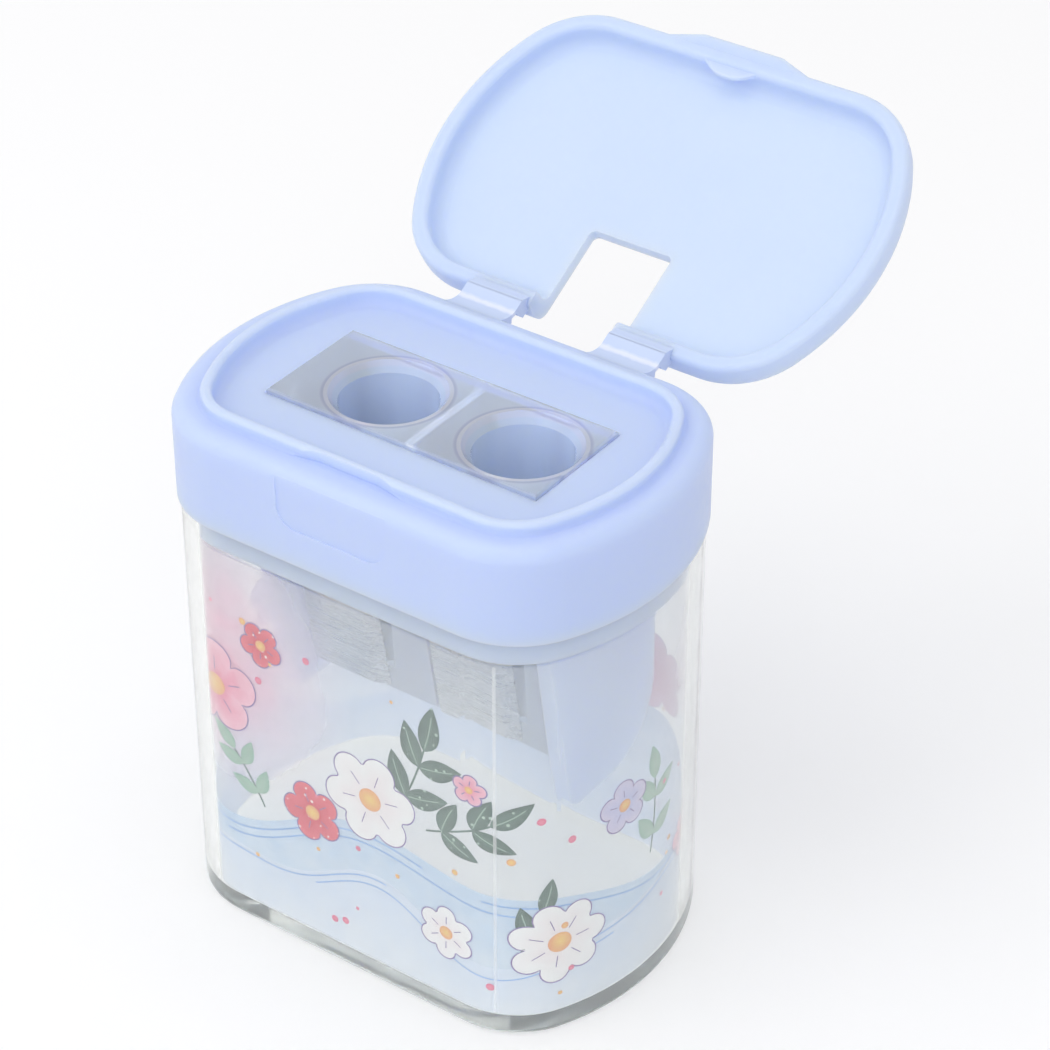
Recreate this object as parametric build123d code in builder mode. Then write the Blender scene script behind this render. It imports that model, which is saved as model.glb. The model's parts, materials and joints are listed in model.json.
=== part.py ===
"""Two-hole pencil sharpener: clear shavings bin, plug-in top with a clear sharpener block, flip-open lid.

Millimetres. The origin is the centre of the bin's bottom face, +X runs along the long side, -Y is the
front and +Z is up. The lid stands open, as it is left while a pencil is sharpened.
"""

import math
import os

from build123d import *

# Plan outline, shared by the bin, the collar and the lid
body_width = 46.0
body_depth = 30.5
end_radius = 22.7
corner_radius = 8.5

# Bin
bin_height = 42.5
bin_wall = 1.3
bin_set_in = 0.3
base_thickness = 1.8
base_edge_radius = 0.8

# Printed film inside the bin
film_thickness = 0.2
film_clearance = 0.1
film_head_room = 0.4

# Collar: wall, shoulder, raised lip, sunk deck inside the lip and the skirt that plugs into the bin
collar_height = 9.2
collar_seat_gap = 0.1
shoulder_radius = 1.3
lip_inset = 2.5
lip_width = 1.0
lip_rise = 1.0
lip_crest_radius = 0.4
lip_base_radius = 0.4
deck_sink = 0.6
deck_thickness = 1.5
deck_corner_radius = 1.0
skirt_depth = 2.6
skirt_thickness = 0.9
skirt_clearance = 0.1

# Thumb scoop and catch recess at the front of the collar
scoop_width = 11.4
scoop_drop = 5.6
scoop_depth = 0.1
scoop_radius = 2.0
catch_width = 9.0
catch_depth = 0.3
catch_run = 1.5
catch_clearance = 0.2
catch_bump_width = 8.0
catch_tip_width = 2.0
catch_tip_radius = 2.5
catch_bump_radius = 0.2

# Sharpener block
block_length = 28.1
block_depth = 11.9
block_rise = 0.4
flange_thickness = 1.2
flange_ledge = 0.5
block_clearance = 0.1
block_edge_chamfer = 0.15
seam_width = 0.8
seam_roof = 0.6
tip_floor = 2.8

# Pencil holes, one in each half of the block
hole_side_wall = 0.1
hole_shift = 0.3
pencil_bore = 8.8
lead_in = 0.8
lead_in_depth = 0.9
guide_length = 6.0
cone_half_angle = 10.0
cone_tip_radius = 0.6
shaving_slot_cut = 0.4

# Blades and their screws
blade_width = 8.1
blade_length = 24.0
blade_thickness = 0.6
blade_edge_setback = 0.2
blade_head_drop = 0.3
bevel_width = 1.6
bevel_edge = 0.12
screw_shank = 2.0
screw_length = 5.0
screw_head = 4.4
screw_head_height = 1.3
screw_head_radius = 0.45
screw_slot_width = 0.7
screw_slot_depth = 0.6
screw_hole_clearance = 0.25
pilot_clearance = 0.05
pilot_spare_depth = 0.5

# Pocket round the block, hanging below the deck
pocket_wall = 1.4
pocket_back = 10.0
pocket_reach = 3.4
pocket_bottom = 18.0
pocket_back_radius = 7.0
pocket_front_radius = 2.0

# Lid
lid_height = 3.5
lid_wall = 1.6
lid_plate = 1.2
lid_edge_radius = 1.6
lid_inside_radius = 1.2
rim_edge_radius = 0.6
rim_step = 0.1
lid_gap = 0.2
lid_open_angle = 150.2
notch_width = 8.7
notch_reach = 10.1
notch_corner_radius = 0.6
tab_base_width = 15.0
tab_tip_width = 8.3
tab_reach = 1.1
tab_root = 1.2
tab_thickness = 1.4
tab_corner_radius = 0.8
tab_edge_radius = 0.5

# Living hinge: a leaf on the collar, a leaf on the lid and a thin web between them
hinge_reach = 1.6
hinge_drop = 0.6
leaf_pitch = 15.2
leaf_width = 5.9
leaf_thickness = 0.8
leaf_root = 1.2
leaf_gap = 0.2
leaf_clearance = 0.15
web_half_length = 0.3
web_thickness = 0.35

# Heights and places that follow from the sizes above
half_depth = body_depth / 2
collar_bottom = bin_height + collar_seat_gap
shoulder_z = bin_height + collar_height
lip_z = shoulder_z + lip_rise
deck_z = shoulder_z - deck_sink
deck_underside = deck_z - deck_thickness
bin_inside_inset = bin_set_in + bin_wall
skirt_inset = bin_inside_inset + skirt_clearance
skirt_bottom = bin_height - skirt_depth
film_inset = bin_inside_inset + film_clearance
film_top = skirt_bottom - film_head_room
block_top = deck_z + block_rise
flange_bottom = block_top - flange_thickness
half_block = block_length / 2
bore_radius = pencil_bore / 2
mouth_radius = bore_radius + lead_in
right_hole = half_block - hole_side_wall - mouth_radius
hole_centres = [right_hole - half_block, right_hole]
hole_y = -hole_shift
cone_top = block_top - lead_in_depth - guide_length
cone_slope = math.tan(math.radians(cone_half_angle))
cone_tip = cone_top - (bore_radius - cone_tip_radius) / cone_slope
block_bottom = cone_tip - tip_floor
block_back = block_depth / 2 - flange_ledge
hinge_y = half_depth + hinge_reach
hinge_z = shoulder_z - hinge_drop
web_start = hinge_y - web_half_length
collar_leaf_top = hinge_z - leaf_gap / 2
leaf_centres = [-leaf_pitch / 2, leaf_pitch / 2]
sides = ["left", "right"]

# The lid's frame: its origin is the middle of the rim, its +Z points out of the lid's top
rim_above_hinge = hinge_drop + lid_gap
lid_leaf_drop = rim_above_hinge - leaf_gap / 2
open_turn = math.radians(lid_open_angle)
lid_up = (0, math.sin(open_turn), math.cos(open_turn))
hinge_frame = Plane((0, hinge_y, hinge_z), x_dir=(1, 0, 0), z_dir=lid_up)
rim_centre = hinge_frame.from_local_coords(Vector(0, -hinge_y, rim_above_hinge))
lid_rim = Plane(rim_centre, x_dir=(1, 0, 0), z_dir=lid_up)


def block_front(height):
    """Y of the block's sloped front, which runs along the cones and cuts into them by the slot's depth."""
    return hole_y + shaving_slot_cut - bore_radius + (cone_top - height) * cone_slope


def plan(plane, inset=0.0):
    """The plan outline on a plane: straight front and rear, bowed ends, round corners, drawn inset."""
    y = half_depth - inset
    bow_radius = end_radius - inset
    bow_centre = body_width / 2 - end_radius
    x = bow_centre + math.sqrt(bow_radius**2 - y**2)
    x_end = body_width / 2 - inset
    with BuildSketch(plane) as outline:
        with BuildLine():
            Line((-x, -y), (x, -y))
            ThreePointArc((x, -y), (x_end, 0), (x, y))
            Line((x, y), (-x, y))
            ThreePointArc((-x, y), (-x_end, 0), (-x, -y))
        make_face()
        fillet(outline.vertices(), corner_radius - inset)
    return outline.sketch


def level(height):
    """The horizontal plane at a height."""
    return Plane.XY.offset(height)


def blade_seat(hole_x):
    """The plane of a blade's seat, centred on the blade, with its +Z out of the block and its +Y uphill."""
    turn = math.radians(cone_half_angle)
    centre_z = cone_top - blade_head_drop - blade_length * math.cos(turn) / 2
    centre_x = hole_x - blade_edge_setback - blade_width / 2
    origin = (centre_x, block_front(centre_z), centre_z)
    return Plane(origin, x_dir=(1, 0, 0), z_dir=(0, -math.cos(turn), -math.sin(turn)))


def save(solid, name):
    """Labels a finished piece and writes it."""
    solid.label = name
    export_step(solid, f"parts/{name}.step")


os.makedirs("parts", exist_ok=True)

# Clear bin
with BuildPart() as shavings_bin:
    extrude(plan(level(0), bin_set_in), amount=bin_height)
    fillet(shavings_bin.edges().group_by(Axis.Z)[0], base_edge_radius)
    extrude(plan(level(base_thickness), bin_inside_inset), amount=bin_height, mode=Mode.SUBTRACT)
save(shavings_bin.part, "bin")

# Printed film, standing on the bin's base against its wall
with BuildPart() as film:
    film_height = film_top - base_thickness
    extrude(plan(level(base_thickness), film_inset), amount=film_height)
    extrude(
        plan(level(base_thickness), film_inset + film_thickness),
        amount=film_height,
        mode=Mode.SUBTRACT,
    )
save(film.part, "print_film")

# Collar
with BuildPart() as deck_sunk:
    extrude(plan(level(deck_z), lip_inset + lip_width), amount=lip_z - deck_z)
    fillet(deck_sunk.edges().group_by(Axis.Z)[0], deck_corner_radius)

with BuildPart() as collar:
    extrude(plan(level(collar_bottom)), amount=shoulder_z - collar_bottom)
    fillet(collar.edges().group_by(Axis.Z)[-1], shoulder_radius)
    extrude(plan(level(deck_z), lip_inset), amount=lip_z - deck_z)
    lip_base = collar.edges(Select.NEW).filter_by_position(Axis.Z, shoulder_z, shoulder_z)
    fillet(lip_base, lip_base_radius)
    add(deck_sunk.part, mode=Mode.SUBTRACT)
    fillet(collar.faces().sort_by(Axis.Z)[-1].edges(), lip_crest_radius)
    extrude(plan(level(skirt_bottom), skirt_inset), amount=collar_bottom - skirt_bottom)
    # Hollow underside
    extrude(
        plan(level(skirt_bottom), skirt_inset + skirt_thickness),
        amount=deck_underside - skirt_bottom,
        mode=Mode.SUBTRACT,
    )
    # Pocket: two ends with sloped front edges, joined by a cross wall close behind the block
    pocket_inside = half_block + block_clearance
    pocket_mouth = block_front(deck_underside) - pocket_reach
    cross_wall = block_back + block_clearance
    with BuildSketch(Plane.YZ) as pocket_side:
        with BuildLine():
            Polyline(
                (pocket_mouth, deck_underside),
                (block_front(pocket_bottom) - pocket_reach, pocket_bottom),
                (pocket_back, pocket_bottom),
                (pocket_back, deck_underside),
                close=True,
            )
        make_face()
        fillet(pocket_side.vertices().group_by(Axis.Y)[0].sort_by(Axis.X)[0], pocket_front_radius)
        fillet(pocket_side.vertices().group_by(Axis.Y)[0].sort_by(Axis.X)[-1], pocket_back_radius)
    extrude(amount=pocket_inside + pocket_wall, both=True)
    pocket_depth = deck_underside - pocket_bottom
    with Locations((0, cross_wall, deck_underside)):
        Box(
            2 * pocket_inside,
            cross_wall - pocket_mouth,
            pocket_depth,
            align=(Align.CENTER, Align.MAX, Align.MAX),
            mode=Mode.SUBTRACT,
        )
    with Locations((0, cross_wall + pocket_wall, deck_underside)):
        Box(
            2 * pocket_inside,
            pocket_back - cross_wall - pocket_wall,
            pocket_depth,
            align=(Align.CENTER, Align.MIN, Align.MAX),
            mode=Mode.SUBTRACT,
        )
    # Stepped seat for the block in the deck
    with Locations((0, 0, flange_bottom)):
        Box(
            2 * pocket_inside,
            block_depth + 2 * block_clearance,
            flange_thickness,
            align=(Align.CENTER, Align.CENTER, Align.MIN),
            mode=Mode.SUBTRACT,
        )
    opening_front = block_front(flange_bottom) - block_clearance
    with Locations((0, opening_front, flange_bottom)):
        Box(
            2 * pocket_inside,
            block_back + block_clearance - opening_front,
            flange_bottom - deck_underside,
            align=(Align.CENTER, Align.MIN, Align.MAX),
            mode=Mode.SUBTRACT,
        )
    # Catch recess in the lip's front, with slanted ends
    lip_front = lip_inset - half_depth
    with BuildSketch(level(shoulder_z)):
        with BuildLine():
            Polyline(
                (-catch_width / 2 - catch_run, lip_front - catch_depth),
                (-catch_width / 2 + catch_run, lip_front + catch_depth),
                (catch_width / 2 - catch_run, lip_front + catch_depth),
                (catch_width / 2 + catch_run, lip_front - catch_depth),
                close=True,
            )
        make_face()
    extrude(amount=lip_rise, mode=Mode.SUBTRACT)
    # Thumb scoop in the front wall
    with BuildSketch(Plane.XZ.offset(half_depth)):
        with Locations((0, shoulder_z)):
            Rectangle(scoop_width, 2 * scoop_drop)
        fillet(vertices().group_by(Axis.Y)[0], scoop_radius)
    extrude(amount=-scoop_depth, mode=Mode.SUBTRACT)
    # Hinge leaves
    for leaf_x in leaf_centres:
        with Locations((leaf_x, web_start, collar_leaf_top)):
            Box(
                leaf_width,
                web_start - half_depth + leaf_root,
                leaf_thickness,
                align=(Align.CENTER, Align.MAX, Align.MAX),
            )
save(collar.part, "collar")

# Clear sharpener block with its two pencil holes
with BuildPart() as block:
    with BuildSketch(Plane.YZ):
        with BuildLine():
            Polyline(
                (block_front(flange_bottom), flange_bottom),
                (block_front(block_bottom), block_bottom),
                (block_back, block_bottom),
                (block_back, flange_bottom),
                close=True,
            )
        make_face()
    extrude(amount=half_block, both=True)
    with Locations((0, 0, flange_bottom)):
        Box(block_length, block_depth, flange_thickness, align=(Align.CENTER, Align.CENTER, Align.MIN))
    chamfer(block.edges().group_by(Axis.Z)[-1], block_edge_chamfer)
    # Narrow seam that parts the two halves below the flange
    with Locations((0, 0, flange_bottom - seam_roof)):
        Box(
            seam_width,
            2 * block_depth,
            flange_bottom - seam_roof - block_bottom,
            align=(Align.CENTER, Align.CENTER, Align.MAX),
            mode=Mode.SUBTRACT,
        )
    for hole_x in hole_centres:
        with BuildSketch(Plane.XZ.offset(hole_shift)):
            with BuildLine():
                Polyline(
                    (hole_x, block_top),
                    (hole_x + mouth_radius, block_top),
                    (hole_x + bore_radius, block_top - lead_in_depth),
                    (hole_x + bore_radius, cone_top),
                    (hole_x + cone_tip_radius, cone_tip),
                    (hole_x, cone_tip),
                    close=True,
                )
            make_face()
        revolve(axis=Axis((hole_x, hole_y, 0), (0, 0, 1)), mode=Mode.SUBTRACT)
        with BuildSketch(blade_seat(hole_x)):
            Circle(screw_shank / 2 + pilot_clearance)
        extrude(amount=-(screw_length + pilot_spare_depth), mode=Mode.SUBTRACT)
save(block.part, "sharpener_body")

# Blades, each with a ground bevel along its cutting edge, and their screws
for side, hole_x in zip(sides, hole_centres):
    seat = blade_seat(hole_x)
    with BuildPart() as blade:
        section = Plane(seat.origin, x_dir=seat.x_dir, z_dir=seat.y_dir)
        with BuildSketch(section):
            with BuildLine():
                Polyline(
                    (-blade_width / 2, 0),
                    (blade_width / 2, 0),
                    (blade_width / 2, -bevel_edge),
                    (blade_width / 2 - bevel_width, -blade_thickness),
                    (-blade_width / 2, -blade_thickness),
                    close=True,
                )
            make_face()
        extrude(amount=blade_length / 2, both=True)
        with BuildSketch(seat):
            Circle(screw_shank / 2 + screw_hole_clearance)
        extrude(amount=blade_thickness, mode=Mode.SUBTRACT)
    save(blade.part, f"blade_{side}")

    with BuildPart() as screw:
        with BuildSketch(seat.offset(blade_thickness)):
            Circle(screw_head / 2)
        extrude(amount=screw_head_height)
        fillet(screw.faces().sort_by(Axis(seat.origin, seat.z_dir))[-1].edges(), screw_head_radius)
        with BuildSketch(seat.offset(blade_thickness)):
            Circle(screw_shank / 2)
        extrude(amount=-(blade_thickness + screw_length))
        with BuildSketch(seat.offset(blade_thickness + screw_head_height)):
            Rectangle(screw_head, screw_slot_width)
        extrude(amount=-screw_slot_depth, mode=Mode.SUBTRACT)
    save(screw.part, f"blade_screw_{side}")

# Lid, built on its own open frame
outward = Axis(lid_rim.origin, lid_rim.z_dir)
with BuildPart() as lid_hollow:
    extrude(plan(lid_rim, lid_wall), amount=lid_height - lid_plate)
    fillet(lid_hollow.faces().sort_by(outward)[-1].edges(), lid_inside_radius)

tab_root_width = tab_base_width + (tab_base_width - tab_tip_width) * tab_root / tab_reach
with BuildPart() as lid_tab:
    with BuildSketch(lid_rim.offset(rim_step)) as tab:
        with BuildLine():
            Polyline(
                (-tab_root_width / 2, tab_root - half_depth),
                (-tab_tip_width / 2, -half_depth - tab_reach),
                (tab_tip_width / 2, -half_depth - tab_reach),
                (tab_root_width / 2, tab_root - half_depth),
                close=True,
            )
        make_face()
        fillet(tab.vertices().group_by(Axis.Y)[0], tab_corner_radius)
    extrude(amount=tab_thickness)
    tab_faces = lid_tab.faces().sort_by(outward)
    fillet(tab_faces[0].edges() + tab_faces[-1].edges(), tab_edge_radius)

# Catch bump, a low swelling inside the lid's front wall that reaches into the lip's recess
catch_root = lid_wall / 2
catch_tip = lip_inset + catch_depth - catch_clearance
with BuildPart() as lid_catch:
    with BuildSketch(lid_rim.offset(catch_clearance)) as bump:
        with BuildLine():
            Polyline(
                (-catch_bump_width / 2, catch_root - half_depth),
                (-catch_tip_width / 2, catch_tip - half_depth),
                (catch_tip_width / 2, catch_tip - half_depth),
                (catch_bump_width / 2, catch_root - half_depth),
                close=True,
            )
        make_face()
        fillet(bump.vertices().group_by(Axis.Y)[-1], catch_tip_radius)
    extrude(amount=lip_rise - lid_gap - catch_clearance)
    bump_faces = lid_catch.faces().sort_by(outward)
    fillet(bump_faces[0].edges() + bump_faces[-1].edges(), catch_bump_radius)

with BuildPart() as lid:
    extrude(plan(lid_rim), amount=lid_height)
    fillet(lid.faces().sort_by(outward)[-1].edges(), lid_edge_radius)
    add(lid_hollow.part, mode=Mode.SUBTRACT)
    fillet(lid.faces().sort_by(outward)[0].edges(), rim_edge_radius)
    add(lid_tab.part)
    add(lid_catch.part)
    # Rear notch
    with BuildSketch(lid_rim):
        with Locations((0, half_depth - notch_reach)):
            Rectangle(notch_width, 2 * notch_reach, align=(Align.CENTER, Align.MIN))
        fillet(vertices().group_by(Axis.Y)[0], notch_corner_radius)
    extrude(amount=lid_height, mode=Mode.SUBTRACT)
    # Hinge leaves, stepped down behind the rear wall to the collar's leaves
    for leaf_x in leaf_centres:
        leaf_middle = lid_rim.from_local_coords(Vector(leaf_x, 0, 0))
        leaf_plane = Plane(leaf_middle, x_dir=lid_rim.y_dir, z_dir=(1, 0, 0))
        with BuildSketch(leaf_plane):
            with BuildLine():
                Polyline(
                    (half_depth - leaf_root, rim_step),
                    (half_depth + leaf_clearance, rim_step),
                    (half_depth + leaf_clearance, -lid_leaf_drop),
                    (web_start, -lid_leaf_drop),
                    (web_start, leaf_thickness - lid_leaf_drop),
                    (half_depth + leaf_clearance + leaf_thickness, rim_step + leaf_thickness),
                    (half_depth - leaf_root, rim_step + leaf_thickness),
                    close=True,
                )
            make_face()
        extrude(amount=leaf_width / 2, both=True)
save(lid.part, "lid")

# Webs of the living hinge
lid_web_depths = [leaf_gap / 2, leaf_gap / 2 + web_thickness]
lid_web_edge = [hinge_frame.from_local_coords(Vector(0, -web_half_length, depth)) for depth in lid_web_depths]
for side, leaf_x in zip(sides, leaf_centres):
    with BuildPart() as web:
        with BuildSketch(Plane.YZ.offset(leaf_x)):
            with BuildLine():
                Polyline(
                    (web_start, collar_leaf_top - web_thickness),
                    (web_start, collar_leaf_top),
                    (lid_web_edge[0].Y, lid_web_edge[0].Z),
                    (lid_web_edge[1].Y, lid_web_edge[1].Z),
                    close=True,
                )
            make_face()
        extrude(amount=leaf_width / 2, both=True)
    save(web.part, f"living_hinge_{side}")
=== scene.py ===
"""Looks of a two-hole pencil sharpener with a clear shavings bin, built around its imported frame.

Metres in the frame: +X along the long side, -Y the front, +Z up. Print sizes are in millimetres.
"""

import json
import math
import random

import bpy
from mathutils import Matrix, Vector


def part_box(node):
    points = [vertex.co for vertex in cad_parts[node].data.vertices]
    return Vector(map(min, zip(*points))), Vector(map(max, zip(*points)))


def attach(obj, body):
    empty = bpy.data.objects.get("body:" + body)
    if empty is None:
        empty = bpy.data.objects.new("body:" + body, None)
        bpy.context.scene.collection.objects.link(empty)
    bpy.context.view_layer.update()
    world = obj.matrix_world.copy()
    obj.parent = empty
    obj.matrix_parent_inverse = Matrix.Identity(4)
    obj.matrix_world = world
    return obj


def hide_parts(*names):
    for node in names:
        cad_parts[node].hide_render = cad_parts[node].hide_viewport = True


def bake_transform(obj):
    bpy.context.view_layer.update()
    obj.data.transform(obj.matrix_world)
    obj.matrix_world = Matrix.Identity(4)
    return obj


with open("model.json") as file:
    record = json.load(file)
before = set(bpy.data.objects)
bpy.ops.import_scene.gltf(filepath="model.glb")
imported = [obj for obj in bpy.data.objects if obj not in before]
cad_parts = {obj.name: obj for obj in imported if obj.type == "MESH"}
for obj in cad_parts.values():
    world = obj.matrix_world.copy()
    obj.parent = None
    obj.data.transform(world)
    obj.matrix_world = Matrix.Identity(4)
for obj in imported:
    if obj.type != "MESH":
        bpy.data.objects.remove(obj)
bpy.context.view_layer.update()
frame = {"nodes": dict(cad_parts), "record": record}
nodes = frame["nodes"]
MM = 0.001


# Colour and node helpers


def srgb(red, green, blue):
    """The linear colour of an sRGB byte triple."""

    def linear(byte):
        share = byte / 255
        return share / 12.92 if share <= 0.04045 else ((share + 0.055) / 1.055) ** 2.4

    return (linear(red), linear(green), linear(blue), 1.0)


class Finish:
    """A material with one Principled shader and short ways to add nodes behind it."""

    def __init__(self, name, **values):
        self.material = bpy.data.materials.new(name)
        self.material.use_nodes = True
        self.tree = self.material.node_tree
        self.shader = self.tree.nodes["Principled BSDF"]
        self.output = self.tree.nodes["Material Output"]
        for socket, value in values.items():
            self.shader.inputs[socket.replace("_", " ")].default_value = value

    def node(self, kind, values=None, **settings):
        """Adds a node, sets its attributes and fills or links its inputs."""
        made = self.tree.nodes.new(kind)
        for key, value in settings.items():
            setattr(made, key, value)
        for socket, value in (values or {}).items():
            if isinstance(value, bpy.types.NodeSocket):
                self.tree.links.new(value, made.inputs[socket])
            else:
                made.inputs[socket].default_value = value
        return made

    def link(self, source, socket):
        self.tree.links.new(source, self.shader.inputs[socket])

    def noise(self, size, detail=3.0, stretch=(1, 1, 1)):
        """Noise with features of about this size in metres, from 0 to 1."""
        place = self.node("ShaderNodeTexCoord").outputs["Object"]
        scaled = self.node("ShaderNodeMapping", {"Vector": place, "Scale": stretch}).outputs["Vector"]
        values = {"Vector": scaled, "Scale": 1 / size, "Detail": detail}
        return self.node("ShaderNodeTexNoise", values).outputs["Fac"]

    def span(self, source, low, high, start=0.3, end=0.7):
        """A number that runs from low to high as the source goes from start to end."""
        values = {"Value": source, "From Min": start, "From Max": end, "To Min": low, "To Max": high}
        return self.node("ShaderNodeMapRange", values).outputs["Result"]

    def between(self, share, first, second):
        """A colour between two colours."""
        made = self.node("ShaderNodeMix", data_type="RGBA")
        self.tree.links.new(share, made.inputs["Factor"])
        for socket, value in ((made.inputs[6], first), (made.inputs[7], second)):
            if isinstance(value, bpy.types.NodeSocket):
                self.tree.links.new(value, socket)
            else:
                socket.default_value = value
        return made.outputs[2]

    def maths(self, operation, first, second):
        """One Math node on two numbers or sockets."""
        return self.node("ShaderNodeMath", {0: first, 1: second}, operation=operation).outputs[0]

    def bump(self, source, height, strength=1.0):
        """Bump of a height in metres."""
        values = {"Height": source, "Distance": height, "Strength": strength}
        self.link(self.node("ShaderNodeBump", values).outputs["Normal"], "Normal")

    def let_lamps_through(self, tint):
        """Lets lamp light pass a clear wall, so that what is behind it is lit."""
        path = self.node("ShaderNodeLightPath")
        clear = self.node("ShaderNodeBsdfTransparent", {"Color": tint})
        mixed = self.node("ShaderNodeMixShader", {0: path.outputs["Is Shadow Ray"]})
        self.tree.links.new(self.shader.outputs[0], mixed.inputs[1])
        self.tree.links.new(clear.outputs[0], mixed.inputs[2])
        self.tree.links.new(mixed.outputs[0], self.output.inputs["Surface"])


# Materials


def blue_plastic(name, first, second):
    """Pale blue satin polypropylene, translucent in its thickness, with a fine moulded grain."""
    made = Finish(
        name,
        Subsurface_Weight=0.8,
        Subsurface_Radius=(1.0, 1.0, 1.3),
        Subsurface_Scale=2.2 * MM,
        IOR=1.48,
        Specular_IOR_Level=0.42,
    )
    made.colour = made.between(made.noise(14 * MM), first, second)
    made.link(made.colour, "Base Color")
    made.link(made.span(made.noise(0.8 * MM), 0.36, 0.46), "Roughness")
    made.bump(made.noise(0.25 * MM, 4.0), 0.004 * MM)
    return made


def lid_plastic():
    """The lid's plastic, with painted shade on the thick rim, which comes out deeper and darker than the
    thin, backlit plate.
    """
    made = blue_plastic("lid_backlit_blue", *lid_backlit_blue)
    values = {0: made.node("ShaderNodeTexCoord").outputs["Object"], 1: lid_up}
    depth = made.node("ShaderNodeVectorMath", values, operation="DOT_PRODUCT").outputs["Value"]
    # Painted shade: the rim is darker than the plate, as less light passes through its thick wall
    rim = made.span(depth, 1.0, 0.0, rim_edge * MM, rim_foot * MM)
    made.link(made.between(rim, made.colour, rim_shade_blue), "Base Color")
    return made.material


def strap_plastic(name, blue, white):
    """The lid's plastic, whitened by folding along the middle of the hinge.

    The UV map runs across the fold in millimetres.
    """
    made = Finish(name, IOR=1.48, Specular_IOR_Level=0.42)
    place = made.node("ShaderNodeUVMap", uv_map="fold").outputs["UV"]
    across = made.node("ShaderNodeSeparateXYZ", {"Vector": place}).outputs["Y"]
    away = made.node("ShaderNodeMath", {0: across}, operation="ABSOLUTE").outputs[0]
    uneven = made.maths("ADD", away, made.span(made.noise(0.7 * MM, 2.0), -0.06, 0.06))
    made.link(made.between(made.span(uneven, 1.0, 0.0, 0.1, 0.4), blue, white), "Base Color")
    made.link(made.span(uneven, 0.6, 0.46, 0.1, 0.5), "Roughness")
    return made.material


def clear_plastic(name, colour, clear, ior, absorption, density, wave_height):
    """Clear moulded polystyrene with faint flow waves, a tint in its thickness and a share of milkiness."""
    made = Finish(name, Base_Color=colour, Transmission_Weight=clear, IOR=ior)
    made.link(made.span(made.noise(2.5 * MM), 0.0, 0.05), "Roughness")
    made.bump(made.noise(9 * MM, 1.0), wave_height)
    volume = made.node("ShaderNodeVolumeAbsorption", {"Color": absorption, "Density": density})
    made.tree.links.new(volume.outputs[0], made.output.inputs["Volume"])
    made.let_lamps_through((0.99, 0.99, 0.99, 1.0))
    return made


def block_plastic():
    """The block's clear plastic, with painted blue down the holes for the blue pocket showing through, a
    painted highlight on each lead-in and a painted shade ring round each hole.
    """
    made = clear_plastic(
        "clear_block",
        colour=block_clear,
        clear=0.62,
        ior=1.26,
        absorption=(0.74, 0.74, 0.84, 1),
        density=8,
        wave_height=0.003 * MM,
    )
    place = made.node("ShaderNodeTexCoord").outputs["Object"]
    flattened = made.node("ShaderNodeVectorMath", {0: place, 1: (1, 1, 0)}, operation="MULTIPLY")
    bores = [mount for mount in frame["record"]["mounts"] if mount["kind"] == "bore"]
    reaches = []
    for bore in bores:
        values = {0: flattened.outputs["Vector"], 1: (bore["pos_m"][0], bore["pos_m"][1], 0)}
        reach = made.node("ShaderNodeVectorMath", values, operation="DISTANCE")
        reaches.append(reach.outputs["Value"])
    nearest = made.maths("MINIMUM", *reaches)
    bore_radius = bores[0]["dims"]["r_mm"]
    # Painted blue in the holes, then a painted highlight on the lead-in and a painted shade ring round each
    # hole
    colour = hole_painted_blue
    for start, end, after in hole_painted_bands:
        share = made.span(nearest, 0.0, 1.0, (bore_radius + start) * MM, (bore_radius + end) * MM)
        colour = made.between(share, colour, after)
    made.link(colour, "Base Color")
    return made.material


def steel(name, colour, low, high, stretch):
    """Ground steel with fine lines along one direction."""
    made = Finish(name, Metallic=1.0)
    lines = made.noise(0.35 * MM, 3.0, stretch)
    made.link(made.between(lines, colour, srgb(226, 228, 232)), "Base Color")
    made.link(made.span(lines, low, high), "Roughness")
    made.bump(lines, 0.004 * MM)
    return made.material


lid_open = math.radians(150.2)
lid_up = (0, math.sin(lid_open), math.cos(lid_open))
# The lid's blue is painted paler than the collar's: painted light, standing in for lamp light passing
# through its thin plate
lid_backlit_blue = (srgb(203, 217, 246), srgb(208, 221, 248))
collar_blue = (srgb(194, 209, 254), srgb(199, 214, 255))

# The rim's painted shade fades out between these millimetres along lid_up
rim_edge = -35.2
rim_foot = -33.2
# The painted shade colour of the thick rim
rim_shade_blue = srgb(199, 214, 252)

# The block's painted light round a hole, from the hole outwards: a painted highlight, a painted shade ring,
# then the plain block; bands start and end at millimetres from the hole's wall
block_clear = (0.83, 0.9, 1.0, 1)
hole_painted_blue = (0.84, 0.93, 1.0, 1)
hole_painted_bands = [
    (0.35, 0.5, (0.92, 0.93, 0.98, 1)),
    (1.1, 1.2, (0.68, 0.71, 0.84, 1)),
    (1.3, 1.5, block_clear),
]

materials = {
    "collar": blue_plastic("collar_blue", *collar_blue).material,
    "lid": lid_plastic(),
    "bin": clear_plastic(
        "clear_bin",
        colour=(0.97, 0.98, 0.965, 1),
        clear=0.95,
        ior=1.49,
        absorption=(0.72, 0.78, 0.74, 1),
        density=20,
        wave_height=0.006 * MM,
    ).material,
    "block": block_plastic(),
    "blade": steel("blade_steel", srgb(176, 178, 182), 0.2, 0.38, (0.06, 1, 1)),
    "screw": steel("screw_steel", srgb(170, 170, 174), 0.25, 0.45, (1, 1, 1)),
}
dressed = {
    "bin": "bin",
    "collar": "collar",
    "lid": "lid",
    "sharpener_body": "block",
    "blade_left": "blade",
    "blade_right": "blade",
    "blade_screw_left": "screw",
    "blade_screw_right": "screw",
}
for node, finish in dressed.items():
    nodes[node].material_slots[0].material = materials[finish]


# Straps over the hinge's leaves and webs, from the collar's shoulder to the lid's rim, in millimetres

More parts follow.
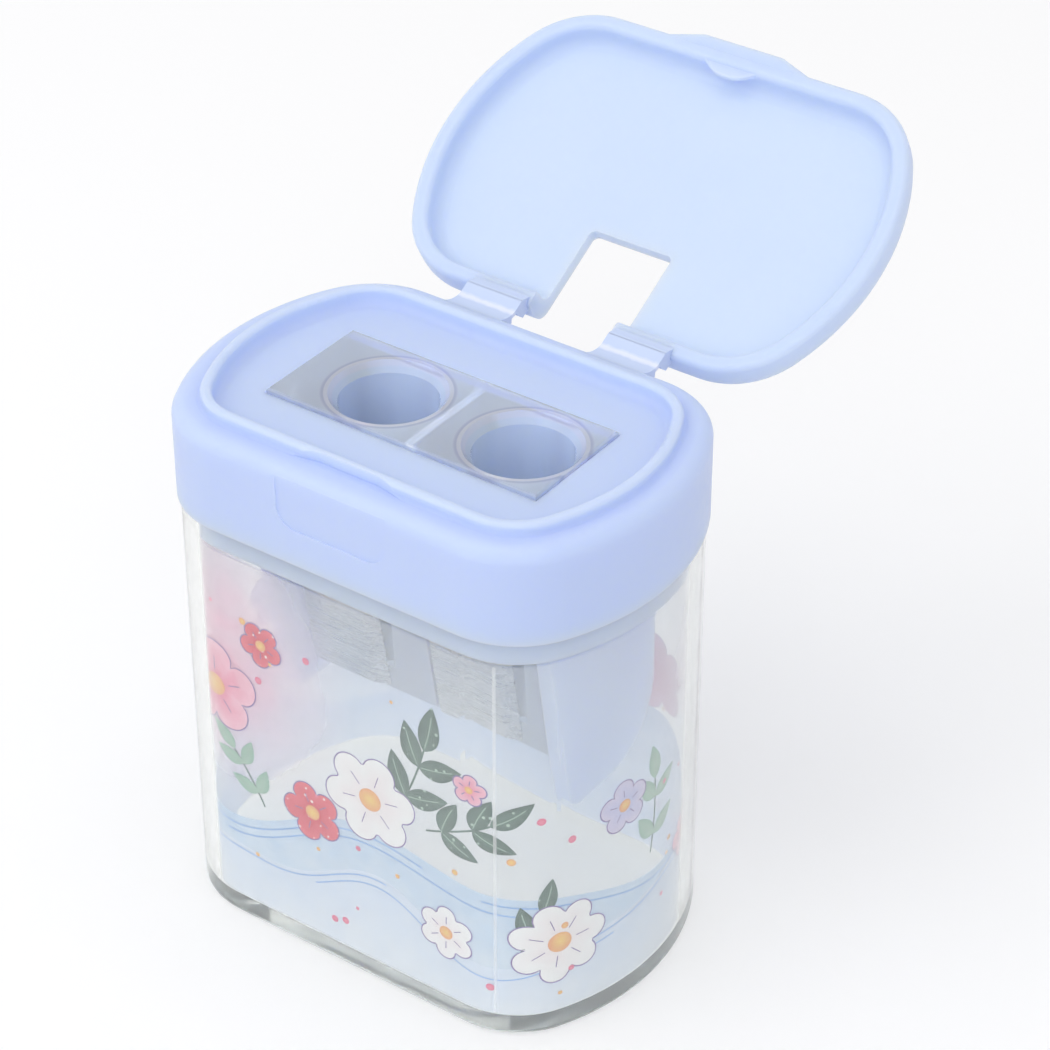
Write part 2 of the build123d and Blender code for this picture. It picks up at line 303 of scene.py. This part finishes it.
hinge_y = 16.85
hinge_z = 51.1
strap_skin = 0.02
leaf_top = 51.0 + strap_skin
leaf_foot = 50.2 - strap_skin
lid_leaf_face = 0.1 - strap_skin
lid_leaf_back = 1.7 + strap_skin
lid_leaf_reaches = (0.63, 1.0, 1.3)
rim_run = 1.3
rim_rise = 0.76
curve_steps = 8
shoulder_curve = [(14.5, 51.56), (15.1, 51.25), (15.6, leaf_top), (16.4, leaf_top)]


def on_lid(reach, depth):
    """A point of the lid's side, from the hinge towards the rim and towards the lid's outside."""
    y = hinge_y - reach * math.cos(lid_open) + depth * math.sin(lid_open)
    return (y, hinge_z + reach * math.sin(lid_open) + depth * math.cos(lid_open))


# The web's upper and lower points, from the collar's leaf over the fold to the lid's leaf
web_section = [
    ((16.52, leaf_top), (16.54, leaf_foot)),
    ((16.6, leaf_top + 0.01), (16.58, 50.63)),
    ((hinge_y, leaf_top + 0.06), (16.92, 50.68)),
    (on_lid(0.26, lid_leaf_face), on_lid(0.28, 0.47)),
    (on_lid(0.34, lid_leaf_face), on_lid(0.29, 0.92)),
]


def strap_stations():
    """Upper and lower points of the strap's section, from the collar to the lid."""
    made = []
    start, pull, land, end = (Vector(point) for point in shoulder_curve)
    for step in range(curve_steps + 1):
        t = step / curve_steps
        u = 1 - t
        point = start * u**3 + pull * (3 * u * u * t) + land * (3 * u * t * t) + end * t**3
        made.append((tuple(point), (point.x, leaf_foot)))
    made.extend(web_section)
    for reach in lid_leaf_reaches:
        made.append((on_lid(reach, lid_leaf_face), on_lid(reach, lid_leaf_back)))
    for step in range(1, curve_steps + 1):
        share = step / curve_steps
        rise = share * share * (3 - 2 * share)
        reach = lid_leaf_reaches[-1] + rim_run * share
        made.append((on_lid(reach, lid_leaf_face + rim_rise * rise), on_lid(reach, lid_leaf_back)))
    return made


def hinge_strap(side):
    """One strap, bending at the hinge."""
    low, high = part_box("living_hinge_" + side)
    edges = (low.x - strap_skin * MM, high.x + strap_skin * MM)
    stations = strap_stations()
    rings = []
    for upper, lower in stations:
        rings.extend((x, y * MM, z * MM) for y, z in (upper, lower) for x in edges)
    faces = [(0, 1, 3, 2)]
    for index in range(len(stations) - 1):
        near, far = 4 * index, 4 * index + 4
        faces.append((near, far, far + 1, near + 1))
        faces.append((near + 2, near + 3, far + 3, far + 2))
        faces.append((near, near + 2, far + 2, far))
        faces.append((near + 1, far + 1, far + 3, near + 3))
    last = 4 * len(stations) - 4
    faces.append((last, last + 2, last + 3, last + 1))
    mesh = bpy.data.meshes.new("hinge_strap_" + side)
    mesh.from_pydata(rings, [], [face[::-1] for face in faces])
    layer = mesh.uv_layers.new(name="fold")
    for loop in mesh.loops:
        x, y, _ = rings[loop.vertex_index]
        layer.data[loop.index].uv = (x / MM, y / MM - hinge_y)
    mesh.materials.append(materials["strap"])
    mesh.shade_smooth()
    mesh.set_sharp_from_angle(angle=math.radians(40))
    strap = bpy.data.objects.new("hinge_strap_" + side, mesh)
    bpy.context.scene.collection.objects.link(strap)
    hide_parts("living_hinge_" + side)
    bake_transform(strap)


materials["strap"] = strap_plastic("hinge_strap", lid_backlit_blue[0], srgb(230, 236, 254))
for strap_side in ("left", "right"):
    hinge_strap(strap_side)


# The sleeve's outline, as a path measured from the middle of the front towards +X

film_low, film_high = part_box("print_film")
film_wall = 0.2
film_haze = 0.13
# A thin pale line painted down the sleeve at the front-right corner: a painted highlight
seam_along = 15.2
seam_width = 0.28
film_half_width = film_high.x / MM
film_half_depth = film_high.y / MM
film_bottom = film_low.z / MM
film_top = film_high.z / MM
film_height = film_top - film_bottom
film_end_radius = 21.0
film_corner_radius = 6.8

end_centre = film_half_width - film_end_radius
corner_y = film_half_depth - film_corner_radius
corner_x = end_centre + math.sqrt((film_end_radius - film_corner_radius) ** 2 - corner_y**2)
end_half_angle = math.atan2(corner_y, corner_x - end_centre)
corner_angle = math.pi / 2 - end_half_angle
quarter_runs = [corner_x, film_corner_radius * corner_angle, film_end_radius * end_half_angle]
quarter_length = sum(quarter_runs)
sleeve_length = 4 * quarter_length


def quarter_point(along):
    """Point and outward direction on the front right quarter of the outline."""
    straight, corner, _ = quarter_runs
    if along <= straight:
        return (along, -film_half_depth), (0.0, -1.0)
    if along <= straight + corner:
        turn = (along - straight) / film_corner_radius
        out = (math.sin(turn), -math.cos(turn))
        return (corner_x + film_corner_radius * out[0], -corner_y + film_corner_radius * out[1]), out
    turn = (quarter_length - along) / film_end_radius
    out = (math.cos(turn), -math.sin(turn))
    return (end_centre + film_end_radius * out[0], film_end_radius * out[1]), out


def wrap(along, height, lift):
    """A point on the sleeve, lifted off its outer face, all in millimetres; the result in metres."""
    along = (along + sleeve_length / 2) % sleeve_length - sleeve_length / 2
    side = math.copysign(1.0, along)
    far = abs(along) > quarter_length
    (x, y), (out_x, out_y) = quarter_point(2 * quarter_length - abs(along) if far else abs(along))
    back = -1.0 if far else 1.0
    return Vector(((x + out_x * lift) * side, (y + out_y * lift) * back, height)) * MM


class Ink:
    """Printed shapes on the sleeve. A point is (along, height, tint); the tint is kept in the UV map."""

    def __init__(self, name, lift):
        self.name = name
        self.lift = lift
        self.points = []
        self.faces = []

    def rows(self, rows, closed=False):
        """Quads between rows of points with equal counts; closed rows are rings."""
        first = len(self.points)
        count = len(rows[0])
        for row in rows:
            self.points.extend(row)
        steps = count if closed else count - 1
        for row in range(len(rows) - 1):
            for step in range(steps):
                near = first + row * count + step
                far = first + row * count + (step + 1) % count
                self.faces.append(self.outward((near, far, far + count, near + count)))

    def outward(self, face):
        """The face with its corners turned so that it faces out of the sleeve."""
        corners = [self.points[index] for index in face]
        area = sum(a[0] * b[1] - b[0] * a[1] for a, b in zip(corners, corners[1:] + corners[:1]))
        return face if area > 0 else face[::-1]

    def disc(self, rim, centre, rings=4):
        """A filled closed outline, with the tint going from 0 in the middle to 1 at the rim."""
        rows = []
        for ring in range(rings + 1):
            share = 0.02 + 0.98 * ring / rings
            row = [
                (centre[0] + (a - centre[0]) * share, centre[1] + (h - centre[1]) * share, share)
                for a, h in rim
            ]
            rows.append(row)
        self.rows(rows, closed=True)

    def line(self, path, width, closed=False):
        """A strip of ink along a path."""
        left, right = [], []
        count = len(path)
        for index, (along, height) in enumerate(path):
            before = path[index - 1] if index or closed else path[0]
            after = path[(index + 1) % count] if index < count - 1 or closed else path[-1]
            run = Vector((after[0] - before[0], after[1] - before[1])).normalized()
            left.append((along - run.y * width / 2, height + run.x * width / 2, 0.0))
            right.append((along + run.y * width / 2, height - run.x * width / 2, 1.0))
        self.rows([left, right], closed)

    def make(self, material):
        """The finished piece, a sheet of ink that rides on the bin."""
        mesh = bpy.data.meshes.new(self.name)
        mesh.from_pydata([wrap(a, h, self.lift) for a, h, _ in self.points], [], self.faces)
        layer = mesh.uv_layers.new(name="tint")
        for loop in mesh.loops:
            along, _, tint = self.points[loop.vertex_index]
            layer.data[loop.index].uv = (tint, along / sleeve_length)
        mesh.materials.append(material)
        mesh.shade_smooth()
        piece = bpy.data.objects.new(self.name, mesh)
        bpy.context.scene.collection.objects.link(piece)
        piece.visible_shadow = False
        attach(piece, "bin")


# Camera, floor and light

scene = bpy.context.scene
scene.view_settings.view_transform = "Standard"
scene.cycles.max_bounces = 48
scene.cycles.diffuse_bounces = 10
scene.cycles.glossy_bounces = 40
scene.cycles.transmission_bounces = 40
scene.cycles.transparent_max_bounces = 32

camera_place = Vector((144.936, -190.141, 203.897)) * MM
camera_right = Vector((0.812852, 0.582470, 0.0))
camera_up = Vector((-0.329811, 0.460260, 0.824248))
camera_back = camera_right.cross(camera_up)
camera_data = bpy.data.cameras.new("camera")
camera_data.sensor_width = 36.0
camera_data.lens = 115.69
camera_data.clip_start = 0.01
camera = bpy.data.objects.new("camera", camera_data)
turn = Matrix((camera_right, camera_up, camera_back)).transposed().to_4x4()
camera.matrix_world = Matrix.Translation(camera_place) @ turn
scene.collection.objects.link(camera)
scene.camera = camera


def seen_directly(tree):
    """A 0 or 1 socket that is 1 for what the camera, mirrors and clear plastic show."""
    path = tree.nodes.new("ShaderNodeLightPath")
    total = path.outputs["Is Camera Ray"]
    for name in ("Is Glossy Ray", "Is Transmission Ray"):
        either = tree.nodes.new("ShaderNodeMath")
        either.operation = "MAXIMUM"
        tree.links.new(total, either.inputs[0])
        tree.links.new(path.outputs[name], either.inputs[1])
        total = either.outputs[0]
    return total


def white_world(overhead, below):
    """White to look at, and a soft light on the object, a little stronger from overhead."""
    world = bpy.data.worlds.new("studio")
    world.use_nodes = True
    tree = world.node_tree
    background = tree.nodes["Background"]
    background.inputs["Color"].default_value = (1, 1, 1, 1)
    place = tree.nodes.new("ShaderNodeTexCoord")
    parts = tree.nodes.new("ShaderNodeSeparateXYZ")
    tree.links.new(place.outputs["Generated"], parts.inputs["Vector"])
    light = tree.nodes.new("ShaderNodeMapRange")
    tree.links.new(parts.outputs["Z"], light.inputs["Value"])
    light.inputs["From Min"].default_value = -1.0
    light.inputs["To Min"].default_value = below
    light.inputs["To Max"].default_value = overhead
    level = tree.nodes.new("ShaderNodeMapRange")
    tree.links.new(seen_directly(tree), level.inputs["Value"])
    tree.links.new(light.outputs["Result"], level.inputs["To Min"])
    level.inputs["To Max"].default_value = 1.0
    tree.links.new(level.outputs["Result"], background.inputs["Strength"])
    scene.world = world


def white_floor(size):
    """A white floor that keeps the object's soft shadow."""
    corners = [(-size, -size, 0), (size, -size, 0), (size, size, 0), (-size, size, 0)]
    mesh = bpy.data.meshes.new("floor")
    mesh.from_pydata(corners, [], [(0, 1, 2, 3)])
    floor = bpy.data.objects.new("floor", mesh)
    scene.collection.objects.link(floor)
    made = Finish("floor_white", Base_Color=(0.86, 0.86, 0.87, 1), Roughness=0.9, Specular_IOR_Level=0.1)
    made.shader.inputs["Emission Color"].default_value = (1, 1, 1, 1)
    glow = made.maths("MULTIPLY", seen_directly(made.tree), 0.16)
    made.link(glow, "Emission Strength")
    mesh.materials.append(made.material)
    floor.location.z = -0.02 * MM


def soft_lamp(name, place, target, size, power):
    """A square area lamp aimed at a point."""
    data = bpy.data.lights.new(name, "AREA")
    data.size = size
    data.energy = power
    lamp = bpy.data.objects.new(name, data)
    lamp.location = place
    lamp.rotation_euler = (Vector(target) - Vector(place)).to_track_quat("-Z", "Y").to_euler()
    scene.collection.objects.link(lamp)


white_world(overhead=0.72, below=0.65)
white_floor(size=3.0)
soft_lamp("key", (-0.35, -0.5, 0.65), (0, 0, 0.03), size=0.6, power=1.45)
soft_lamp("fill", (0.4, -0.6, 0.45), (0, 0, 0.03), size=0.6, power=1.2)
soft_lamp("top", (0, -0.05, 0.8), (0, 0, 0.05), size=0.5, power=0.7)


# Printed sleeve


def film_finish():
    """Clear film with soft pink washes and a faint haze elsewhere."""
    made = Finish("film", Roughness=0.3, IOR=1.45)
    place = made.node("ShaderNodeTexCoord").outputs["UV"]
    washes = []
    for along, height, wide, tall, strength in pink_washes:
        values = {
            "Vector": place,
            "Location": (along / sleeve_length + 0.5, height / film_height, 0),
            "Scale": (wide / sleeve_length, tall / film_height, 1),
        }
        mapped = made.node("ShaderNodeMapping", values, vector_type="TEXTURE").outputs["Vector"]
        glow = made.node("ShaderNodeTexGradient", {"Vector": mapped}, gradient_type="SPHERICAL")
        washes.append(made.maths("MULTIPLY", glow.outputs["Fac"], strength))
    wash = washes[0]
    for other in washes[1:]:
        wash = made.maths("MAXIMUM", wash, other)
    mottled = made.maths("MULTIPLY", wash, made.span(made.noise(3 * MM), 0.8, 1.1))
    made.link(made.between(mottled, srgb(240, 244, 250), srgb(242, 160, 196)), "Base Color")
    made.link(made.maths("ADD", mottled, film_haze), "Alpha")
    return made.material


def ink_finish(name, middle, rim, spots=None, cover=1.0):
    """Printed ink that shades from one colour to another, mottled like watercolour, with optional specks."""
    made = Finish(name, Roughness=0.5, IOR=1.45, Alpha=cover)
    tint = made.node("ShaderNodeUVMap", uv_map="tint").outputs["UV"]
    share = made.node("ShaderNodeSeparateXYZ", {"Vector": tint}).outputs["X"]
    uneven = made.maths("ADD", share, made.span(made.noise(1.6 * MM), -0.22, 0.22))
    colour = made.between(uneven, middle, rim)
    if spots:
        cells = made.node(
            "ShaderNodeTexVoronoi",
            {"Vector": made.node("ShaderNodeTexCoord").outputs["Object"], "Scale": 1 / (0.9 * MM)},
        )
        colour = made.between(made.span(cells.outputs["Distance"], 1.0, 0.0, 0.16, 0.2), colour, spots)
    made.link(colour, "Base Color")
    return made.material


def make_film():
    """The sleeve itself, a thin closed band with a straight path and height map."""
    steps = 480
    section = [(0.0, film_bottom), (0.0, film_top), (-film_wall, film_top), (-film_wall, film_bottom)]
    count = len(section)
    points = [
        wrap(sleeve_length * (step / steps - 0.5), height, lift)
        for step in range(steps)
        for lift, height in section
    ]
    faces = []
    for step in range(steps):
        near, far = step * count, (step + 1) % steps * count
        for corner in range(count):
            after = (corner + 1) % count
            faces.append((near + corner, far + corner, far + after, near + after))
    mesh = bpy.data.meshes.new("sleeve")
    mesh.from_pydata(points, [], faces)
    layer = mesh.uv_layers.new(name="path")
    for face in mesh.polygons:
        step = face.index // count
        for loop in face.loop_indices:
            vertex = mesh.loops[loop].vertex_index
            last = step == steps - 1 and vertex < count
            along = 1.0 if last else vertex // count / steps
            layer.data[loop].uv = (along, (section[vertex % count][1] - film_bottom) / film_height)
    mesh.materials.append(film_finish())
    mesh.shade_smooth()
    mesh.set_sharp_from_angle(angle=math.radians(40))
    sleeve = bpy.data.objects.new("sleeve", mesh)
    scene.collection.objects.link(sleeve)
    sleeve.visible_shadow = False
    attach(sleeve, "bin")
    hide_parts("print_film")


def wave(along, level, swells):
    """Height of a wavy edge that closes on itself round the sleeve."""
    turns = along / sleeve_length * 2 * math.pi
    return level + sum(size * math.sin(count * turns + phase) for count, size, phase in swells)


def full_turn(steps=366):
    """Evenly spaced places once round the sleeve, the first and last at the back."""
    return [sleeve_length * (step / steps - 0.5) for step in range(steps + 1)]


def hill(ink, level, swells):
    """A band of ink from the foot of the film to a wavy edge."""
    rows = []
    for share in (0.0, 0.35, 0.7, 1.0):
        row = []
        for along in full_turn():
            top = wave(along, level, swells)
            row.append((along, film_bottom + (top - film_bottom) * share, share))
        rows.append(row)
    ink.rows(rows)


def ripple(ink, level, swells, start, end, width):
    """A thin contour line along a wavy edge."""
    steps = max(8, round(abs(end - start) / 0.5))
    places = [start + (end - start) * step / steps for step in range(steps + 1)]
    ink.line([(along, wave(along, level, swells)) for along in places], width)


def petal_rim(along, height, size, petals, depth, turned, steps=90):
    """The scalloped rim of a blossom."""
    rim = []
    for step in range(steps):
        angle = 2 * math.pi * step / steps
        swell = abs(math.cos(petals * angle / 2)) ** 0.6
        radius = size / 2 * (1 - depth + depth * swell)
        rim.append((along + radius * math.cos(angle + turned), height + radius * math.sin(angle + turned)))
    return rim


def blossom(inks, petal_ink, along, height, size, petals=5, turned=0.3, depth=0.34):
    """A flat blossom: petals with a drawn rim, short veins and a round middle."""
    rim = petal_rim(along, height, size, petals, depth, turned)
    inks[petal_ink].disc(rim, (along, height))
    inks["outline"].line(rim, 0.13, closed=True)
    for petal in range(petals):
        angle = turned + 2 * math.pi * petal / petals
        vein = [
            (along + size * reach * math.cos(angle), height + size * reach * math.sin(angle))
            for reach in (0.17, 0.24, 0.31)
        ]
        inks["outline"].line(vein, 0.09)
    middle = petal_rim(along, height, size * 0.24, 1, 0.0, 0.0, 28)
    inks["middle"].disc(middle, (along, height), 2)


def leaf(inks, leaf_ink, along, height, length, width, heading, bend=0.15):
    """A pointed leaf with a vein, from its foot in the direction of its heading."""
    run = Vector((math.cos(heading), math.sin(heading)))
    across = Vector((-run.y, run.x))
    rows, vein = [], []
    steps = 14
    for step in range(steps + 1):
        share = step / steps
        centre = Vector((along, height)) + run * length * share + across * length * bend * share**2
        half = width / 2 * math.sin(math.pi * share**0.8) ** 0.9 + 0.02
        rows.append(
            [
                (*(centre + across * half * side), abs(side) * 0.6 + share * 0.4)
                for side in (1, 0.5, 0, -0.5, -1)
            ]
        )
        if 0.05 < share < 0.85:
            vein.append(tuple(centre))
    inks[leaf_ink].rows(rows)
    inks["vein"].line(vein, 0.1)


def sprig(inks, leaf_ink, along, height, length, heading, pairs, size):
    """A curved stem with leaves in pairs and one at its tip."""
    run = Vector((math.cos(heading), math.sin(heading)))
    across = Vector((-run.y, run.x))
    path = []
    for step in range(13):
        share = step / 12
        path.append(Vector((along, height)) + run * length * share + across * length * 0.12 * share**2)
    inks["stem"].line([tuple(point) for point in path], 0.2)
    for pair in range(pairs):
        foot = path[round(12 * (pair + 0.6) / (pairs + 0.2))]
        for side in (1, -1):
            leaf(inks, leaf_ink, foot.x, foot.y, size, size * 0.48, heading + side * 0.95, -0.15 * side)
    leaf(inks, leaf_ink, path[-1].x, path[-1].y, size * 1.1, size * 0.48, heading + 0.15)


def dot(ink, along, height, size):
    """A small round dot of ink."""
    ink.disc(petal_rim(along, height, size, 1, 0.0, 0.0, 20), (along, height), 2)


# The print: wavy hills below, blossoms and leaf sprigs above, scattered dots, all in millimetres

print_lift = 0.004
print_depth = 0.068
dot_count = 70

# Along, height, width and height of the wash, strength
pink_washes = [
    (-15.0, 27.0, 16.0, 17.0, 0.75),
    (38.0, 30.0, 9.0, 9.0, 0.25),
    (-48.0, 18.0, 16.0, 14.0, 0.45),
]

# Level of a hill's edge, then its swells: waves round the sleeve, size, phase
far_hill = (14.5, [(3, 2.4, 0.4), (5, 1.1, 2.0)])
near_hill = (9.0, [(4, 1.9, 1.1), (7, 0.8, 0.3)])

# Contour lines below a hill's edge: drop, start, end
far_ripples = [(1.0, -24, 8), (1.9, -14, 22), (0.9, 14, 44), (1.4, 46, 76)]
near_ripples = [(0.5, -18, 4), (1.3, -4, 26), (0.5, 20, 40), (0.9, 44, 88)]
far_ripple_width = 0.16
near_ripple_width = 0.14

# Along, height, length, heading in degrees, pairs of leaves, leaf size, ink
sprigs = [
    (5.5, 20.5, 8.0, 62, 2, 4.6, "leaf_dark"),
    (8.5, 19.5, 7.0, 20, 2, 4.0, "leaf_dark"),
    (-9.5, 13.5, 6.0, 115, 2, 3.0, "leaf_pale"),
    (17.0, 8.5, 5.0, 60, 1, 3.4, "leaf_dark"),
    (30.5, 14.0, 8.0, 80, 2, 3.4, "leaf_pale"),
    (52.0, 12.0, 12.0, 70, 3, 4.4, "leaf_dark"),
    (-40.0, 11.0, 11.0, 100, 3, 4.2, "leaf_dark"),
    (-58.0, 10.0, 9.0, 80, 2, 4.0, "leaf_pale"),
]

# Along, height, size, petals, turn, ink
blossoms = [
    (-14.5, 25.0, 9.5, 5, 0.3, "pink"),
    (-9.0, 31.5, 4.6, 5, 0.9, "red"),
    (2.5, 20.0, 9.8, 6, 0.2, "white"),
    (-4.0, 15.5, 6.4, 5, 0.7, "red"),
    (20.5, 9.5, 9.0, 7, 0.1, "white"),
    (10.5, 9.0, 5.8, 6, 0.5, "white"),
    (27.0, 21.5, 5.4, 5, 0.4, "lilac"),
    (13.0, 26.0, 3.2, 5, 0.2, "pink"),
    (36.5, 12.0, 4.6, 5, 0.6, "pink"),
    (47.0, 22.0, 8.5, 5, 0.1, "pink"),
    (57.0, 18.0, 7.0, 6, 0.4, "white"),
    (-34.0, 23.0, 8.0, 6, 0.2, "white"),
    (-46.0, 17.0, 7.0, 5, 0.8, "red"),
    (-54.0, 25.0, 5.0, 5, 0.5, "lilac"),
]


def print_layers():
    """The inks in the order in which they lie on the film, each with its finish."""
    return {
        "far_hill": ink_finish("ink_pale_blue", srgb(226, 237, 250), srgb(190, 216, 246), cover=0.72),
        "near_hill": ink_finish("ink_white", srgb(238, 243, 252), srgb(224, 234, 250), cover=0.78),
        "ripple": ink_finish("ink_line_blue", srgb(150, 190, 238), srgb(132, 170, 232)),
        "stem": ink_finish("ink_stem", srgb(92, 124, 112), srgb(74, 104, 98)),
        "leaf_dark": ink_finish("ink_leaf_dark", srgb(98, 128, 120), srgb(66, 96, 92), srgb(176, 200, 190)),
        "leaf_pale": ink_finish("ink_leaf_pale", srgb(176, 206, 190), srgb(140, 182, 168)),
        "vein": ink_finish("ink_vein", srgb(168, 194, 184), srgb(150, 178, 170)),
        "pink": ink_finish("ink_pink", srgb(238, 130, 168), srgb(250, 196, 216)),
        "red": ink_finish("ink_red", srgb(214, 52, 84), srgb(238, 104, 124), srgb(252, 226, 228)),
        "white": ink_finish("ink_petal_white", srgb(246, 236, 242), srgb(250, 250, 254)),
        "lilac": ink_finish("ink_lilac", srgb(190, 196, 240), srgb(222, 214, 244)),
        "outline": ink_finish("ink_outline", srgb(150, 120, 170), srgb(120, 110, 180)),
        "middle": ink_finish("ink_middle", srgb(250, 214, 120), srgb(240, 170, 120)),
        "dots": ink_finish("ink_dots", srgb(244, 150, 178), srgb(236, 110, 150)),
        # The last layer is a painted highlight, a pale line laid over the print
        "seam": ink_finish("film_seam", srgb(248, 249, 252), srgb(238, 241, 248), cover=0.5),
    }


def make_print():
    """Draws the whole print round the sleeve."""
    finishes = print_layers()
    step = print_depth / len(finishes)
    inks = {name: Ink("print_" + name, print_lift + step * order) for order, name in enumerate(finishes)}
    hill(inks["far_hill"], *far_hill)
    hill(inks["near_hill"], *near_hill)
    for drop, start, end in far_ripples:
        ripple(inks["ripple"], far_hill[0] - drop, far_hill[1], start, end, far_ripple_width)
    for drop, start, end in near_ripples:
        ripple(inks["ripple"], near_hill[0] - drop, near_hill[1], start, end, near_ripple_width)
    for along, height, length, heading, pairs, size, ink in sprigs:
        sprig(inks, ink, along, height, length, math.radians(heading), pairs, size)
    for along, height, size, petals, turned, ink in blossoms:
        blossom(inks, ink, along, height, size, petals, turned)
    scatter = random.Random(4)
    for _ in range(dot_count):
        along = scatter.uniform(-sleeve_length / 2, sleeve_length / 2)
        height = film_bottom + scatter.uniform(0.06, 0.92) ** 1.3 * film_height
        dot(inks["dots" if scatter.random() < 0.6 else "middle"], along, height, scatter.uniform(0.35, 0.8))
    # A painted highlight: a thin pale line down the sleeve at the front-right corner
    rise = [film_bottom + film_height * step / 12 for step in range(13)]
    inks["seam"].line([(seam_along, height) for height in rise], seam_width)
    for name, ink in inks.items():
        ink.make(finishes[name])


make_film()
make_print()
